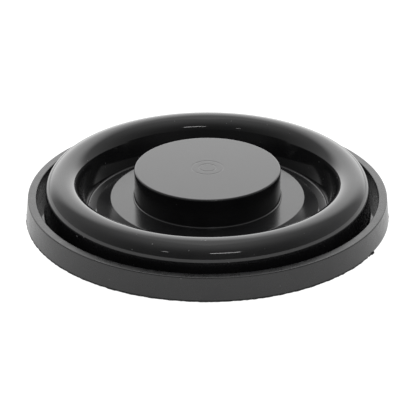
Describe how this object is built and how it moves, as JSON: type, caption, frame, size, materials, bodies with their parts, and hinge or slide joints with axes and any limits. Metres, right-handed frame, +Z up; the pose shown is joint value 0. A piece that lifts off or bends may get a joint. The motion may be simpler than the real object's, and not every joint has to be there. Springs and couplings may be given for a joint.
{
  "type": "low-profile sink plunger",
  "caption": "Low round press-and-pull sink plunger: a rim that seals round the drain, a rolled rubber diaphragm and a central press boss on a clamp plate.",
  "frame": {"origin": "centre of the foot, in the plane that rests on the sink", "axes": "+Z up along the centre line, from the foot towards the press boss; +X and +Y run through two of the hub screws"},
  "size_m": [0.1302, 0.1302, 0.0178],
  "materials": {
    "rim_plastic": "satin",
    "seal_rubber": "matt, with a trimmed edge",
    "spring_steel": "drawn wire",
    "roll_rubber": "glossy, moulded",
    "stainless_disc": "brushed",
    "plate_plastic": "satin",
    "boss_plastic": "satin",
    "insert_brass": "turned",
    "screw_steel": "plain stainless"
  },
  "bodies": {
    "rim": {"rim_ring": "rim_plastic", "foot_seal": "seal_rubber", "bead_hoop": "spring_steel", "roll_diaphragm": "roll_rubber"},
    "hub": {"clamp_plate": "plate_plastic", "press_boss": "boss_plastic", "screw_inserts": "insert_brass", "backing_disc": "stainless_disc", "hub_screws": "screw_steel"}
  },
  "joints": [
    {"name": "press_stroke", "type": "slide", "parent": "rim", "child": "hub", "axis": [0, 0, 1], "range_m": [-0.008, 0.008], "stiffness_N_per_m": 2000, "springref_m": 0.00044, "deforming": ["roll_diaphragm"]}
  ]
}
